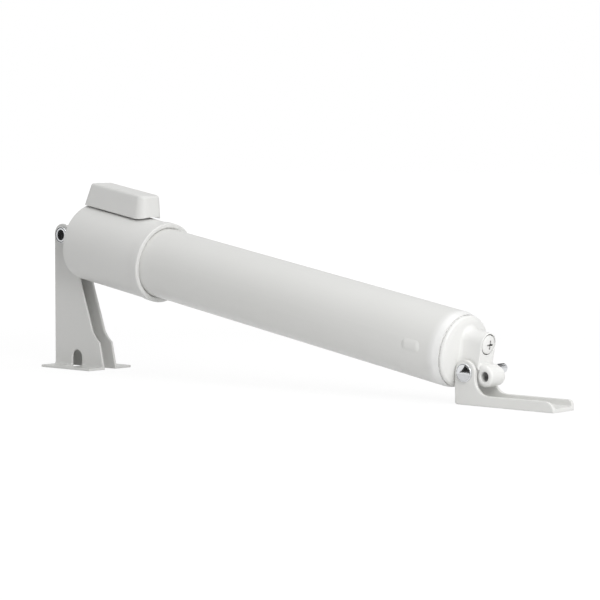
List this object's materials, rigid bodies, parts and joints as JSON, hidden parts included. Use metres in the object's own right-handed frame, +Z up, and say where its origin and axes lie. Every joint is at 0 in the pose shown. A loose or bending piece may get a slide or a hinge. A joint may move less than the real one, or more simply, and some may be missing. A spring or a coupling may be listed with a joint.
{
  "type": "pneumatic door closer",
  "caption": "Leaning pneumatic closer for a screen door: sleeved tube with a hold-open button, sprung rod, end cap with adjusting screw, and two pinned folded steel brackets.",
  "frame": {"origin": "on the surface the brackets stand on, under the middle of the whole part", "axes": "+X from the jamb bracket to the door bracket, +Y along the two pins from head to tail, +Z up"},
  "size_m": [0.3502, 0.0454, 0.1041],
  "materials": {
    "white_paint": "gloss white powder coat on steel",
    "white_plastic": "moulded, light sheen",
    "inner_plastic": "moulded nylon",
    "zinc_steel": "zinc plated",
    "rod_steel": "ground and polished",
    "spring_steel": "drawn wire",
    "bronze": "sintered",
    "rubber": "moulded"
  },
  "bodies": {
    "barrel": {"tube": "white_paint", "end_cap": "white_plastic", "cap_seal": "rubber", "rod_guide": "inner_plastic", "guide_bush": "bronze", "guide_bumper": "rubber", "sleeve": "white_plastic", "return_spring": "spring_steel", "lever_spring": "spring_steel"},
    "rod": {"piston_rod": "rod_steel", "spring_washer": "zinc_steel", "piston": "inner_plastic", "piston_cup": "rubber", "cup_washer": "zinc_steel", "piston_nut": "zinc_steel"},
    "button": {"hold_open_button": "white_plastic"},
    "lever": {"latch_lever": "zinc_steel"},
    "screw": {"adjusting_screw": "white_plastic", "screw_seal": "rubber"},
    "jamb_plate": {"jamb_bracket": "white_paint"},
    "jamb_link_pin": {"jamb_pin": "zinc_steel"},
    "door_plate": {"door_bracket": "white_paint"},
    "door_link_pin": {"door_pin": "zinc_steel"}
  },
  "joints": [
    {"name": "rod_slide", "type": "slide", "parent": "barrel", "child": "rod", "axis": [-0.9853, 0, 0.1709], "range_m": [0, 0.11], "stiffness_N_per_m": 350, "springref_m": -0.06, "deforming": ["return_spring"]},
    {"name": "jamb_hinge", "type": "hinge", "parent": "rod", "child": "jamb_plate", "pos_m": [-0.16871, 0, 0.0744], "axis": [0, 1, 0], "range_deg": [0, 100]},
    {"name": "door_hinge", "type": "hinge", "parent": "barrel", "child": "door_plate", "pos_m": [0.12226, 0, 0.0158], "axis": [0, -1, 0], "range_deg": [-15, 40]},
    {"name": "button_press", "type": "slide", "parent": "barrel", "child": "button", "axis": [-0.1709, 0, -0.9853], "range_m": [0, 0.001], "stiffness_N_per_m": 800, "springref_m": -0.001},
    {"name": "lever_tilt", "type": "hinge", "parent": "barrel", "child": "lever", "pos_m": [-0.14088, 0, 0.05638], "axis": [0, 1, 0], "range_deg": [0, 4.4], "deforming": ["lever_spring"]},
    {"name": "screw_turn", "type": "hinge", "parent": "barrel", "child": "screw", "pos_m": [0.13037, 0, 0.02921], "axis": [0.9853, 0, -0.1709], "range_deg": [-360, 360]},
    {"name": "jamb_pin_slide", "type": "slide", "parent": "jamb_plate", "child": "jamb_link_pin", "axis": [0, -1, 0], "range_m": [0, 0.03]},
    {"name": "door_pin_slide", "type": "slide", "parent": "door_plate", "child": "door_link_pin", "axis": [0, -1, 0], "range_m": [0, 0.03]}
  ],
  "couplings": [
    {"joint": "lever_tilt", "follows": "button_press", "rad_per_m": 76.7}
  ]
}
